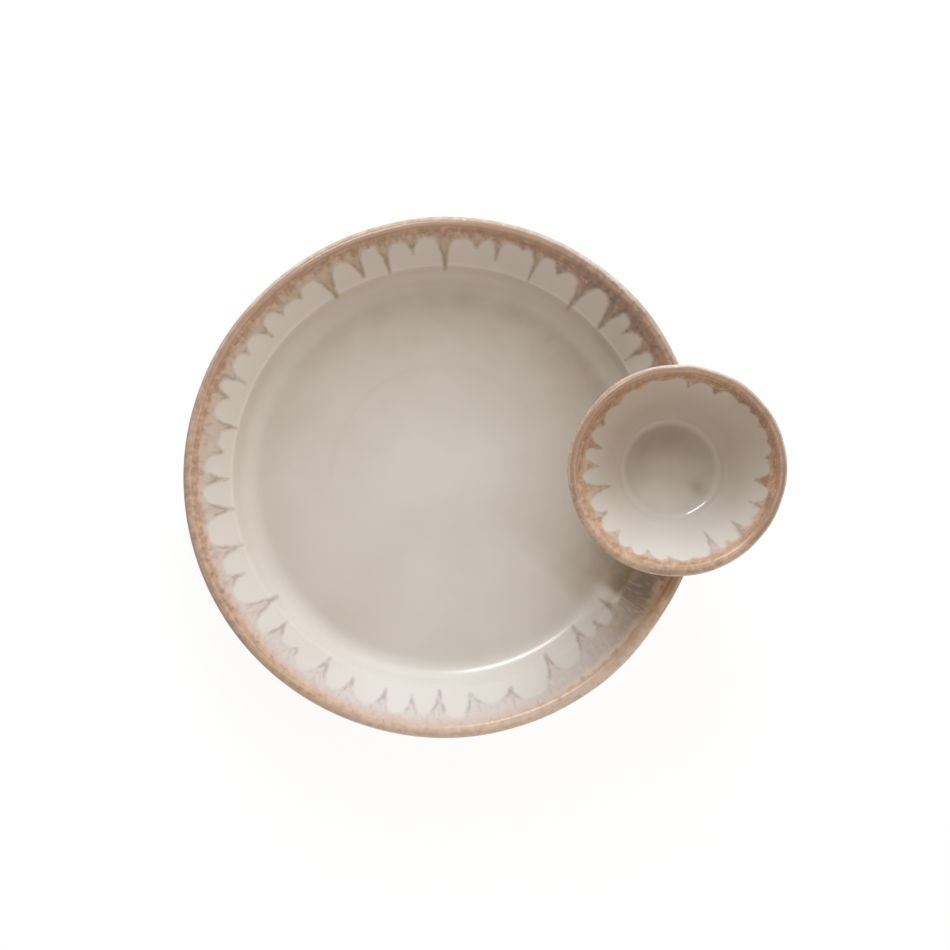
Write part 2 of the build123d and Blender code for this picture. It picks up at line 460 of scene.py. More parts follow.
class Hem:
    """The lower edge of the poured rim glaze on one side of a piece: arches of bare body glaze between runs.

    Distances are in millimetres down the wall from the crest of the lip, and depth_at turns a length in the
    runs' table into one.  The higher slender is, the narrower are the runs.
    """

    def __init__(self, runs, top, seed, slender=1.0, depth_at=float):
        dice = random.Random(seed)
        self.angles = np.array([row[0] for row in runs], float)
        self.tips = np.array([depth_at(row[1]) for row in runs])
        self.widths = np.diff(np.append(self.angles, self.angles[0] + 360))
        following = np.roll(self.tips, -1)
        tops = []
        for row, tip, after in zip(runs, self.tips, following):
            arch = depth_at(row[2]) if len(row) > 2 else top * dice.uniform(0.85, 1.25)
            tops.append(min(arch, 0.8 * min(tip, after)))
        self.tops = np.array(tops)

        # No two arches are as pointed, or lean as far
        self.powers = slender * np.array([dice.uniform(2.4, 4.0) for _ in runs])
        self.leans = np.array([dice.uniform(0.8, 1.25) for _ in runs])

    def read(self, angles):
        """Where the glaze ends, and the arch's top and the run's tip there."""
        where = np.degrees(angles) % 360
        lobe = np.searchsorted(self.angles, where, side="right") - 1
        share = ((where - self.angles[lobe]) % 360) / self.widths[lobe]
        share = np.clip(share, 0, 1) ** self.leans[lobe]
        tip = np.where(share < 0.5, self.tips[lobe], self.tips[(lobe + 1) % len(self.tips)])
        top = self.tops[lobe]

        # From 0 at the top of the arch to 1 at the run, a little before its middle, so that its tip is blunt
        towards_run = np.clip(1.07 * np.abs(2 * share - 1), 0, 1)
        return top + (tip - top) * towards_run ** self.powers[lobe], top, tip


def random_runs(count, shortest, longest, seed):
    """Runs of glaze on the outside, about evenly spaced."""
    dice = random.Random(seed)
    pitch = 360 / count
    return [(pitch * (k + dice.uniform(0.2, 0.8)), dice.uniform(shortest, longest)) for k in range(count)]


def edge_distance(angles, down, inner, outer, radius):
    """How far inside the rim glaze each point lies, in millimetres; outside it the distance is negative."""
    round_it = np.linspace(0, 2 * pi, EDGE_POINTS, endpoint=False)
    tree = KDTree(2 * EDGE_POINTS)
    for height in (inner.read(round_it)[0], -outer.read(round_it)[0]):
        for point in turned(round_it, radius, height):
            tree.insert(point, 0)
    tree.balance()
    reach = np.array([tree.find(point)[2] for point in turned(angles, radius, down)])
    within = (down < inner.read(angles)[0]) & (down > -outer.read(angles)[0])
    return np.where(within, reach, -reach)


# ----------------------------------------
# Meshes


def ring_sizes(radii, steps, finest):
    """How many points go round at each radius: 7 times a power of two, at most doubling between rings."""
    sizes = []
    for radius, step in zip(radii, steps):
        wanted = max(7, 2 * pi * radius / (STEP_ROUND * step))
        sizes.append(min(finest, 7 * 2 ** ceil(log2(wanted / 7))) if radius > ON_AXIS else 1)
    for order in (range(1, len(sizes)), range(len(sizes) - 2, -1, -1)):
        for k in order:
            beside = sizes[k - order.step]
            if beside > 1:
                sizes[k] = min(sizes[k], 2 * beside)
    return sizes


def ring_faces(sizes):
    """Faces between rings of points: quads, three triangles where the number halves, a fan at each end."""
    faces = []
    start_on = 0
    for count, count_on in zip(sizes, sizes[1:]):
        start, start_on = start_on, start_on + count
        fewest = min(count, count_on)
        spot = np.arange(fewest if fewest > 1 else max(count, count_on))
        spot_on = (spot + 1) % len(spot)
        if count == count_on:
            rows = [(start + spot, start_on + spot, start_on + spot_on, start + spot_on)]
        elif count == 1:
            rows = [(start + 0 * spot, start_on + spot, start_on + spot_on)]
        elif count_on == 1:
            rows = [(start + spot, start_on + 0 * spot, start + spot_on)]
        elif count_on == 2 * count:
            middle = start_on + 2 * spot + 1
            rows = [
                (start + spot, start_on + 2 * spot, middle), (start + spot, middle, start + spot_on),
                (start + spot_on, middle, start_on + 2 * spot_on),
            ]
        else:
            middle = start + 2 * spot + 1
            rows = [
                (start_on + spot, middle, start + 2 * spot), (start_on + spot, start_on + spot_on, middle),
                (start_on + spot_on, start + 2 * spot_on, middle),
            ]
        for row in rows:
            faces += np.column_stack(row).tolist()
    return faces


def placed(name, data):
    """A new object in the scene."""
    item = bpy.data.objects.new(name, data)
    bpy.context.scene.collection.objects.link(item)
    return item


def new_piece(name, points, faces, values):
    """A smooth mesh object with named values on its points."""
    mesh = bpy.data.meshes.new(name)
    mesh.from_pydata(points.tolist(), [], faces)
    mesh.polygons.foreach_set("use_smooth", [True] * len(mesh.polygons))
    for label, data in values.items():
        data = np.asarray(data, np.float32)
        kind, field = ("FLOAT_VECTOR", "vector") if data.ndim == 2 else ("FLOAT", "value")
        mesh.attributes.new(label, kind, "POINT").data.foreach_set(field, data.ravel())
    mesh.update()
    return placed(name, mesh)


def take_over(piece, node, body, material):
    """The piece stands for a CAD node: it rides on that node's body and has its finish."""
    piece.data.materials.append(material)
    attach(piece, body)
    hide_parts(node)


class Pot:
    """A section turned about its axis ring by ring, and the glaze on it.

    points are the section's, before is how far before the lip's crest each lies along it, and steps how far
    apart they are, all in metres.
    """

    def __init__(self, path, sizes, glazed, steps):
        self.crest = lip_centre(sizes) + np.array((0, sizes.lip_roll))
        self.points, self.before, self.steps = stepped(path, self.crest, *glazed, *steps)

    def passes(self, spot):
        """How far before the crest the inside passes nearest to a spot."""
        inside = self.before > 0
        return self.before[inside][np.argmin(np.linalg.norm(self.points[inside] - spot, axis=1))]

    def add_bead(self, at, height, width):
        """Raises a fine bead on the section, square to it."""
        swell = height * bell(self.before - at, width)
        self.points = self.points + normals_of(self.points) * swell[:, None]

    def depth_at(self, reach):
        """How far down the inside a place is that lies so far in from the crest, both in millimetres."""
        inside = self.before > 0
        radii, depths = self.points[inside, 0], self.before[inside]
        order = np.argsort(radii)
        return float(np.interp(self.crest[0] - reach * MM, radii[order], depths[order]) / MM)

    def turn(self, finest):
        """Turns the section into rings of points."""
        self.rings = ring_sizes(self.points[:, 0], self.steps, finest)
        self.angles = np.concatenate([np.arange(n) * 2 * pi / n for n in self.rings])
        self.ring = np.repeat(np.arange(len(self.rings)), self.rings)
        self.down = self.before[self.ring] / MM
        self.clay_radius, self.clay_height = self.points[self.ring].T

    def glaze(self, inner, outer, firing_and_shading, pooling_and_shade):
        """Reads the values that the glaze material needs, and lays the thickness of the rim glaze on."""
        radius = self.crest[0] / MM
        run = np.zeros(len(self.down))
        for hem, way in ((inner, self.down), (outer, -self.down)):
            _, top, tip = hem.read(self.angles)
            run = np.maximum(run, np.clip((way - top) / (tip - top), 0, 1))
        edge = edge_distance(self.angles, self.down, inner, outer, radius)
        fired = {label: around(self.angles, firing_and_shading, column) for column, label in enumerate(FIRED, 1)}

        # The body glaze darkens by the radius and by the side, partly pooling and partly painted shade,
        # though not by the side at the middle; the outside is like the inside's edge
        reach = np.where(self.down > 0, self.clay_radius / MM, pooling_and_shade[-1][0])
        even = np.mean([row[1 + FIRED.index("pool")] for row in firing_and_shading])
        pool = even + (fired["pool"] - even) * smooth(reach, 0, 0.4 * radius)
        pool = pool * np.interp(reach, *zip(*pooling_and_shade))

        # Where the runs fired to umber the body glaze beside and below them is darker, partly their stain and
        # partly painted shade beside the dip bowl
        pool = pool + 1.2 * smooth(fired["umber"], 0.7, 1.15) * smooth(self.down, 52, 36) * (self.down > 0)

        flow = turned(self.angles, radius, self.down)
        self.values = {**fired, "flow": flow, "down": self.down, "edge": edge, "run": run, "pool": pool}
        thick = GLAZE_THICKNESS * smooth(edge, -1.0, 2.0)
        across, up = normals_of(self.points)[self.ring].T
        self.radius = self.clay_radius + across * thick
        self.height = self.clay_height + up * thick

    def warp(self, share, outline, level):
        """Runs the points out of round and out of level, by a share at each."""
        self.radius = self.radius + share * around(self.angles, outline) * MM
        self.height = self.height + share * around(self.angles, level) * MM

    def make(self, name, offset=0.0):
        """The piece, with its axis set off along X."""
        points = turned(self.angles, self.radius, self.height) + np.array((offset, 0, 0))
        return new_piece(name, points, ring_faces(self.rings), self.values)


# ----------------------------------------
# Distance fields, for the saddle foot


def distance_below(radius, height, corners):
    """How far each point lies under a line of corners, by its radius and height; elsewhere it is negative."""
    nearest = np.full(radius.shape, np.inf)
    for a, b in zip(corners, corners[1:]):
        along = b - a
        across, up = radius - a[0], height - a[1]
        share = np.clip((across * along[0] + up * along[1]) / (along @ along), 0, 1)
        nearest = np.minimum(nearest, np.hypot(across - share * along[0], up - share * along[1]))
    line = np.interp(radius, *zip(*corners), left=-np.inf, right=-np.inf)
    return np.where(height < line, nearest, -nearest)


def both(a, b, rounding):
    """The part that two bodies share, as a distance field with its edges rounded."""
    overlap = np.maximum(rounding - np.abs(a - b), 0) / rounding
    return np.maximum(a, b) + overlap**2 * rounding / 4


def skin_of(field, origin, step):
    """A closed mesh round the negative part of a field on a grid: a point in each cell that it crosses."""
    inside = field < 0
    cells = tuple(n - 1 for n in field.shape)
    total, crossed = np.zeros((*cells, 3)), np.zeros(cells)

    def corner(values, at):
        return values[tuple(slice(start, start + count) for start, count in zip(at, cells))]

    for at in np.indices((2, 2, 2)).reshape(3, -1).T:
        for axis in np.flatnonzero(at == 0):
            far = at + np.eye(3, dtype=int)[axis]
            near_value, far_value = corner(field, at), corner(field, far)
            cut = corner(inside, at) != corner(inside, far)
            spot = np.broadcast_to(at.astype(float), (*cells, 3)).copy()
            spot[..., axis] += np.where(cut, near_value / np.where(cut, near_value - far_value, 1), 0)
            total += spot * cut[..., None]
            crossed += cut
    filled = crossed > 0
    index = np.full(cells, -1)
    index[filled] = np.arange(filled.sum())
    points = (np.argwhere(filled) + total[filled] / crossed[filled][:, None]) * step + origin

    faces = []
    for axis in range(3):
        across = [(axis + 1) % 3, (axis + 2) % 3]
        changed = inside != np.roll(inside, -1, axis)
        np.moveaxis(changed, axis, 0)[-1] = False
        spots = np.argwhere(changed)
        quad = []
        for shift in ((-1, -1), (0, -1), (0, 0), (-1, 0)):
            beside = spots.copy()
            beside[:, across] += shift
            quad.append(index[tuple(beside.T)])
        quad = np.column_stack(quad)
        outward = inside[tuple(spots.T)]
        faces += quad[outward].tolist() + quad[~outward][:, ::-1].tolist()
    return points, faces


# ----------------------------------------
# Materials: ranges of down, reach, edge and level are in millimetres, and noise is per millimetre; the other
# values run from about 0 to 1


class Value:
    """An output of a node, which arithmetic joins to numbers and other outputs by further nodes."""

    def __init__(self, nodes, socket):
        self.nodes = nodes
        self.socket = socket

    def __add__(self, other):
        return self.nodes.maths("ADD", self, other)

    def __sub__(self, other):
        return self.nodes.maths("SUBTRACT", self, other)

    def __mul__(self, other):
        return self.nodes.maths("MULTIPLY", self, other)

    def __abs__(self):
        return self.nodes.maths("ABSOLUTE", self)

    def eased(self, low, high, to_low=0.0, to_high=1.0):
        """The value eased from one range to another."""
        inputs = (self, low, high, to_low, to_high)
        return self.nodes.join("ShaderNodeMapRange", inputs, interpolation_type="SMOOTHSTEP")

    def fades(self, low, high, full=1.0):
        """Eases from full at low to nothing at high."""
        return self.eased(low, high, full, 0.0)


class Nodes:
    """Short calls that add and join the nodes of one material or world."""

    def __init__(self, material):
        material.use_nodes = True
        self.tree = material.node_tree
        self.tree.nodes.clear()

    def feed(self, socket, source):
        if isinstance(source, Value):
            self.tree.links.new(source.socket, socket)
        else:
            socket.default_value = (*source, 1.0) if socket.type == "RGBA" else source

    def add(self, kind, inputs, **settings):
        """A new node, with its inputs fed by name or in turn."""
        node = self.tree.nodes.new(kind)
        for name, value in settings.items():
            setattr(node, name, value)
        for name, source in inputs.items() if isinstance(inputs, dict) else enumerate(inputs):
            self.feed(node.inputs[name], source)
        return node

    def join(self, kind, inputs=(), output=0, **settings):
        """An output of a new node."""
        return Value(self, self.add(kind, inputs, **settings).outputs[output])

    def value(self, name, output="Fac"):
        """A value that the piece's points carry."""
        return self.join("ShaderNodeAttribute", output=output, attribute_name=name)

    def maths(self, operation, *sources):
        return self.join("ShaderNodeMath", sources, operation=operation)

    def most(self, value, *others):
        """The greatest of several values at each point."""
        for other in others:
            value = self.maths("MAXIMUM", value, other)
        return value

    def place(self):
        """Where each point of the piece lies, in millimetres."""
        return self.stretched(self.join("ShaderNodeTexCoord", output="Object"), 1 / MM, 1 / MM)

    def stretched(self, vector, across, upright):
        scale = (across, across, upright)
        return self.join("ShaderNodeVectorMath", (vector, scale), operation="MULTIPLY")

    def noise(self, vector, scale, detail=2.0, roughness=0.5, distortion=0.0, across=1.0, upright=1.0):
        """Noise, drawn out across or upright where that share is under 1."""
        if (across, upright) != (1.0, 1.0):
            vector = self.stretched(vector, across, upright)
        inputs = {"Vector": vector, "Scale": scale, "Detail": detail, "Roughness": roughness}
        return self.join("ShaderNodeTexNoise", {**inputs, "Distortion": distortion})

    def mix(self, share, first, second):
        """Two colours mixed by the share of the second."""
        node = self.add("ShaderNodeMix", (share,), data_type="RGBA")
        colours = [socket for socket in node.inputs if socket.type == "RGBA"]
        for socket, source in zip(colours, (first, second)):
            self.feed(socket, source)
        return Value(self, next(socket for socket in node.outputs if socket.type == "RGBA"))

    def by_ray(self, lit, seen):
        """One shader for the light on things, and another for what the camera and reflections see."""
        kinds = ("Camera", "Glossy", "Transmission")
        rays = [self.join("ShaderNodeLightPath", output=f"Is {kind} Ray") for kind in kinds]
        return self.join("ShaderNodeMixShader", (self.most(*rays), lit, seen))

    def fired(self, surface, roughness, height, depth):
        """The finished surface: its colour, its gloss, and a relief of that depth in metres."""
        bump = self.join("ShaderNodeBump", {"Strength": 1.0, "Distance": depth, "Height": height})
        shader = self.join("ShaderNodeBsdfPrincipled", {
            "Base Color": surface, "Roughness": roughness, "Normal": bump, "IOR": GLAZE_IOR,
        })
        self.add("ShaderNodeOutputMaterial", {"Surface": shader})


def body_glaze(nodes, tones, place):
    """Cream glaze, cloudy where it lies thinner, and browner where it pooled and in painted shade. place is
    in millimetres.
    """
    clouds = nodes.noise(place, 0.018, 3.0, 0.55).eased(0.35, 0.68, 0.0, 0.5)
    cream = nodes.mix(clouds, tones.cream, tones.cream_shade)
    uneven = nodes.noise(place, 0.05, 3.0, 0.55).eased(0.25, 0.75, 0.9, 1.1)
    return nodes.mix(nodes.value("pool") * uneven, cream, tones.pooled_and_shaded)


def bare_clay(nodes, tones, place):
    """Bare fired stoneware with grog and iron specks. place is in millimetres."""
    grain = nodes.noise(place, 1.1, 4.0, 0.7).eased(0.38, 0.7, 0.0, 0.35)
    specks = nodes.noise(place, 0.7).eased(0.66, 0.72)
    return nodes.mix(specks, nodes.mix(grain, tones.clay, tones.clay_speck), tones.clay_speck)


def rim_colour(nodes, tones, flow, down):
    """The band of rim glaze over the lip, in stripes laid down by the wheel and broken by the fire, with
    painted light.
    """
    wander = nodes.noise(flow, 0.10, 3.0, 0.6) * 3.6 - 1.8
    at = down + wander
    blotches = nodes.noise(flow, 0.2, 2.0, 0.55, 0.4, upright=1.3)
    speckle = nodes.noise(flow, 0.4, upright=0.8)
    rings = nodes.noise(flow, 0.7, 2.0, 0.6, across=0.035)
    mottle = blotches * 0.65 + speckle * 0.35 + rings * 0.25 - 0.1

    # A dark stripe just inside the crest; where the fire was hottest it spreads over the crest
    blotch, pale = nodes.value("blotch"), nodes.value("pale")
    stripe = at.eased(-1.6, 0.2) * (at - blotch * 1.6).fades(2.4, 5.0) * blotch * 0.08
    crest = at.eased(-3.9, -1.9) * at.fades(0.2, 2.4) * blotch.eased(0.6, 1.2, 0.02, 0.38)
    dark = mottle + blotch * 0.05 + stripe + crest
    band = nodes.mix(dark.eased(0.42, 0.76, 0.05, 1.0), tones.terracotta, tones.rust)
    golden = rings.eased(0.44, 0.56) * nodes.value("gold") * dark.eased(0.62, 0.9, 0.85, 0.25)
    band = nodes.mix(golden, band, tones.gold)

    # Paler over the lip: outside the crest where the lip is marked pale, partly painted light on the outer
    # roll; a broken pale line along the crest; painted light over the lip on the front; a painted sheen on
    # the crest where the blotches are few; a grey painted sheen outside the crest where they are many; darker
    # brown under the lip, most where the lip is least pale
    level = down + wander * 0.35
    outside = level - blotch * 0.5
    beyond = outside.fades(-3.7, -2.3, 0.95) * pale
    # Painted light over the lip on the front
    lit = at.fades(-1.0, 5.0, 0.9) * pale * blotch.fades(0.0, 0.8)
    # A painted sheen on the crest
    crest_sheen = level.eased(-3.8, -2.4) * level.fades(0.4, 1.8) * blotch.fades(0.6, 1.1, 0.3)
    broken = abs(level - 0.2).fades(0.2, 1.0) * blotch.eased(0.5, 1.2, 0.45, 0.14)
    thin = nodes.most(beyond, broken, lit, crest_sheen) * mottle.eased(0.44, 0.62, 1.0, 0.68)
    # A grey painted sheen on the outside of the lip
    lip_sheen_share = outside.fades(-2.8, -2.0, 0.85) * blotch.eased(1.0, 1.7)
    band = nodes.mix(thin, band, nodes.mix(lip_sheen_share, tones.peach, tones.lip_sheen))
    under_lip_brown = down.fades(-4.4, -2.8) * down.eased(-10.5, -8.0)
    under_lip_brown = under_lip_brown * blotches.eased(0.3, 0.6, 0.5, 0.95) * pale.eased(0.1, 0.7, 1.0, 0.15)
    return nodes.mix(under_lip_brown, band, tones.edge_brown)


def run_colour(nodes, tones, flow, down, edge, run):
    """Runs of the rim glaze: pale and streaked, with darker edges, veins and tips where it pooled."""
    lilac, umber = nodes.value("lilac"), nodes.value("umber")
    streaks = nodes.noise(flow, 0.36, upright=0.25)
    speckle = nodes.noise(flow, 0.6, 2.0, 0.55, upright=0.5)
    pale = nodes.mix(lilac, tones.tan, tones.lilac)
    dark = nodes.mix(umber, nodes.mix(lilac, tones.olive, tones.plum), tones.umber)

    broken = nodes.noise(flow, 0.16, 1.0).eased(0.28, 0.52, 0.15, 1.0)
    outline = abs(edge - 1.0).fades(0.4, 2.0) * broken * run.eased(0.0, 0.35, 0.3, 0.95)
    tip = run.eased(0.45, 0.95, 0.0, 0.8)
    streaked = (streaks * 0.5 + speckle * 0.5).eased(0.48, 0.68, 0.0, 0.6)
    ridged = abs(nodes.noise(flow, 0.15, 1.0, 0.5, 0.4, upright=0.3) - 0.5)
    veins = ridged.fades(0.02, 0.14, 0.9) * (umber + 0.15)
    upper = umber * down.eased(4.0, 14.0, 0.3, 0.9) * streaks.eased(0.35, 0.6, 0.45, 1.0)
    return nodes.mix(nodes.most(outline, tip, streaked, veins, upper), pale, dark)


def glaze_material(name, tones, gloss, band=1.0, wax_line=False):
    """Cream body glaze under a poured rim glaze.

    gloss is the body glaze's roughness, and band the width of the rim glaze's band as a share of the
    platter's.  With wax_line the glaze stops at the foot's cut edges, which are bare.
    """
    material = bpy.data.materials.new(name)
    nodes = Nodes(material)
    flow = nodes.value("flow", "Vector")
    down, run, blotch, lilac = (nodes.value(label) for label in ("down", "run", "blotch", "lilac"))
    ragged = nodes.noise(flow, 0.6) * 1.2 - 0.6
    bent = nodes.noise(flow, 0.2) * 3.0 - 1.5
    edge = nodes.value("edge") + ragged + bent
    place = nodes.place()

    # From the crest of the lip down either side: the band, then a speckled fringe, then the runs
    wander = nodes.noise(flow, 0.28, 2.0, 0.55) * 6.0 - 3.0
    reach = nodes.most(down, down * -1.0 - OUTSIDE_DROP) + wander - abs(blotch) * 2.2
    airy = blotch.fades(-0.8, -0.1, 0.9) * nodes.value("pale")
    fringe = nodes.mix(airy, nodes.mix(lilac, tones.tan, tones.blush), tones.peach)
    specks = (nodes.noise(flow, 0.24, upright=0.5) + blotch * 0.10).eased(0.5, 0.74, 0.0, 0.9)
    fringe = nodes.mix(specks, fringe, nodes.mix(lilac, tones.rust, tones.plum))
    runs = run_colour(nodes, tones, flow, down, edge, run)
    lower = nodes.mix(reach.eased(4.0 * band, 9.5 * band), fringe, runs)
    reddened = blotch.eased(1.0, 2.6, 0.0, 0.5) * reach.fades(6.0 * band, 14.0 * band)
    lower = nodes.mix(reddened, lower, tones.rust)
    poured = nodes.mix(reach.eased(1.8 * band, 4.6 * band), rim_colour(nodes, tones, flow, down), lower)

    # Scorched smudges, where the fire was hottest
    scorch = nodes.noise(flow, 0.24, 2.0, 0.55, upright=0.7).eased(0.44, 0.62)
    scorch = scorch * blotch.eased(1.2, 2.6, 0.0, 0.85) * reach.fades(2.0 * band, 8.0 * band)
    poured = nodes.mix(scorch * down.eased(-3.2, -1.6), poured, tones.scorched)

    cover = edge.eased(-1.3, 2.0) * run.eased(0.0, 0.5, 0.85, 1.0)
    surface = nodes.mix(cover, body_glaze(nodes, tones, place), poured)
    rings = nodes.noise(flow, 0.35, 3.0, 0.5, across=0.02)
    peel = nodes.noise(place, 0.3)
    fine = nodes.noise(flow, 1.0, 2.0, 0.6)
    relief = rings * 0.3 + peel * 0.3 + fine * cover * 0.25
    if wax_line:
        clay = (nodes.value("bare") + ragged).eased(-0.3, 0.3)
        surface = nodes.mix(clay, surface, bare_clay(nodes, tones, place))
        roughness = clay.eased(0.0, 1.0, gloss, 0.8)
    else:
        roughness = (cover + fine * 0.5).eased(0.0, 1.5, gloss, 0.32)
    nodes.fired(surface, roughness, relief, GLAZE_RELIEF)
    return material


def clay_material(name, tones):
    """Bare fired stoneware, rough and grainy."""
    material = bpy.data.materials.new(name)
    nodes = Nodes(material)
    place = nodes.place()
    grain = nodes.noise(place, 1.6, 4.0, 0.7)
    nodes.fired(bare_clay(nodes, tones, place), grain.eased(0.3, 0.7, 0.74, 0.92), grain, CLAY_RELIEF)
    return material


def studio_floor_material():
    """White floor. The camera and reflections see it lifted to white, with the shadow still on it."""
    material = bpy.data.materials.new("studio_floor")
    nodes = Nodes(material)
    plain = nodes.join("ShaderNodeBsdfDiffuse", {"Color": (0.8, 0.8, 0.8)})
    faint = nodes.join("ShaderNodeBsdfDiffuse", {"Color": (0.16, 0.16, 0.16)})
    lift = nodes.join("ShaderNodeEmission", {"Color": (1.0, 1.0, 1.0), "Strength": 0.90})
    shown = nodes.join("ShaderNodeAddShader", (faint, lift))
    nodes.add("ShaderNodeOutputMaterial", {"Surface": nodes.by_ray(plain, shown)})
    return material


# ----------------------------------------
# Pieces


def cove_and_ridge(platter):
    """The corners inside the platter, where its floor meets the riser and the riser meets the flange."""
    cove = np.array((platter.cove_corner, platter.foot_height + platter.wall))
    return cove, np.array((platter.ridge_radius, cove[1] + platter.ridge_rise))


class MakePlatterDish(Operator):
    """Throw and glaze the dish of the platter"""

    bl_idname = "chip_dip.platter_dish"
    bl_label = "Platter dish"

    def execute(self, context):
        sizes, tones = context.scene.platter_sizes, context.scene.glaze_colours
        cove, ridge = cove_and_ridge(sizes)

        def outside(back, climb):
            riser = unit(ridge - cove)
            behind = cove + turned_right(riser) * sizes.wall
            under = np.array((0.0, sizes.foot_height))
            level = np.array((1.0, 0.0))
            corners = [crossing(back, climb, behind, riser), crossing(behind, riser, under, level), under]
            return corners, [sizes.back_round, sizes.cove_round + sizes.wall]

        path = thrown_wall(sizes, [cove, ridge], [sizes.cove_round, sizes.ridge_round], outside)
        pot = Pot(path, sizes, glazed=(40 * MM, -20 * MM), steps=PLATTER_STEPS)

        # A fine bead on the ridge, and a fainter one on the riser just below it
        ridge_at = pot.passes(ridge)
        pot.add_bead(ridge_at, height=0.34 * MM, width=1.0 * MM)
        pot.add_bead(ridge_at + 3.0 * MM, height=0.22 * MM, width=0.8 * MM)
        pot.turn(PLATTER_RING)
        inner = Hem(PLATTER_RUNS, top=8.5, seed=3, depth_at=pot.depth_at)
        outer = Hem(random_runs(count=44, shortest=11, longest=21, seed=11), top=9.0, seed=5)
        pot.glaze(inner, outer, PLATTER_FIRING_AND_SHADING, PLATTER_POOLING_AND_SHADE)
        outer_third = smooth(pot.clay_radius, 0.66 * sizes.radius, sizes.radius)
        pot.warp(outer_third, PLATTER_OUTLINE, PLATTER_LEVEL)

        # The thrower's spiral on the floor, and part of one turn that stands prouder
        on_floor = (pot.down > 0) & (pot.clay_radius < cove[0] - sizes.cove_round)
        share = pot.angles / (2 * pi)
        spiral = np.sin(2 * pi * (pot.radius / SPIRAL_PITCH - share)) * smooth(pot.radius, 0, SPIRAL_START)
        proud = bell(pot.radius - PROUD_START - PROUD_GAIN * share, PROUD_WIDTH)
        proud = on_floor * proud * smooth(np.cos(pot.angles - PROUD_SIDE), -0.3, 0.6)
        pot.height = pot.height + on_floor * spiral * SPIRAL_DEPTH + proud * PROUD_HEIGHT

        # The body glaze gathers along the proud turn, and is lighter along the ridge
        thin = bell(pot.before[pot.ring] - ridge_at, width=1.0 * MM)
        pot.values["pool"] = pot.values["pool"] + 0.05 * proud - 0.15 * thin
        piece = pot.make("glazed_platter")
        material = glaze_material("platter_glaze", tones, PLATTER_GLOSS)
        take_over(piece, "platter_dish", "platter", material)
        return {"FINISHED"}


class MakePlatterFootRing(Operator):
    """Throw the bare foot ring of the platter"""

    bl_idname = "chip_dip.platter_foot_ring"
    bl_label = "Platter foot ring"

    def execute(self, context):
        sizes, tones = context.scene.platter_sizes, context.scene.glaze_colours
        inner, outer = sizes.foot_radius - sizes.foot_width, sizes.foot_radius
        top = sizes.foot_height + FUSED_RING
        spread, edge = 0.9 * MM, 1.5 * MM
        corners = [
            (inner - spread, top), (inner, sizes.foot_height - spread), (inner, 0), (outer, 0),
            (outer, sizes.foot_height - spread), (outer + spread, top), (inner - spread, top),
        ]
        corners = [np.array(corner, float) for corner in corners]
        path = np.array(rounded(corners, [2 * spread, edge, edge, 2 * spread, FUSED_EDGE], points=6))
        lengths = path_lengths(path)
        section = read_along(path, lengths, np.linspace(0, lengths[-1], FOOT_SECTION, endpoint=False))

        row, spot = np.indices((FOOT_SECTION, FOOT_RING)).reshape(2, -1)
        angles = spot * 2 * pi / FOOT_RING
        radius, height = section[row].T
        radius = radius + RING_WANDER * np.sin(3 * angles + 1) * smooth(height, 0, sizes.foot_height)
        start, start_on = row * FOOT_RING, (row + 1) % FOOT_SECTION * FOOT_RING
        spot_on = (spot + 1) % FOOT_RING
        faces = np.column_stack((start + spot, start + spot_on, start_on + spot_on, start_on + spot))
        piece = new_piece("bare_foot_ring", turned(angles, radius, height), faces.tolist(), {})
        material = clay_material("bare_stoneware", tones)
        take_over(piece, "platter_foot_ring", "platter", material)
        return {"FINISHED"}


class MakeDipBowlCup(Operator):
    """Throw and glaze the cup of the dip bowl"""

    bl_idname = "chip_dip.dip_bowl_cup"
    bl_label = "Dip bowl cup"

    def execute(self, context):
        sizes, tones = context.scene.bowl_sizes, context.scene.glaze_colours
        corner = np.array((sizes.corner, sizes.underside + sizes.wall))

        def outside(back, climb):
            heel = np.array((sizes.heel, sizes.underside))
            upright = np.array((0.0, 1.0))
            corners = [crossing(back, climb, heel, upright), heel, np.array((0.0, sizes.underside))]
            return corners, [sizes.heel_round, FUSED_EDGE]

        path = thrown_wall(sizes, [corner], [sizes.corner_round], outside)
        pot = Pot(path, sizes, glazed=(60 * MM, -46 * MM), steps=BOWL_STEPS)

        # A fine bead where the wall rises from the curve of the floor
        bead_rise = 4.6 * MM
        wall_foot = corner + unit(onto_lip(corner, sizes) - corner) * bead_rise
        pot.add_bead(pot.passes(wall_foot), height=0.22 * MM, width=0.7 * MM)
        pot.turn(BOWL_RING)
        inner = Hem(BOWL_RUNS, top=8.0, seed=8, slender=0.7, depth_at=pot.depth_at)
        outer = Hem(random_runs(count=19, shortest=9, longest=22, seed=21), top=8.0, seed=9)
        pot.glaze(inner, outer, BOWL_FIRING_AND_SHADING, BOWL_POOLING_AND_SHADE)
        rise = smooth(pot.clay_height, sizes.underside + sizes.wall, sizes.height)
        pot.warp(rise, BOWL_OUTLINE, BOWL_LEVEL)

        # A small stain on the floor, towards the outside
        x, y = pot.clay_radius * np.cos(pot.angles), pot.clay_radius * np.sin(pot.angles)
        stain_x, stain_y, stain_size = 15 * MM, -10.5 * MM, 4.5 * MM
        stain = bell(np.hypot(x - stain_x, y - stain_y), stain_size)
        pot.values["pool"] = pot.values["pool"] + 0.3 * (pot.down > 0) * stain
        piece = pot.make("glazed_cup", sizes.offset)
        material = glaze_material("bowl_glaze", tones, BOWL_GLOSS, band=BOWL_BAND)
        take_over(piece, "dip_bowl_cup", "dip_bowl", material)
        return {"FINISHED"}


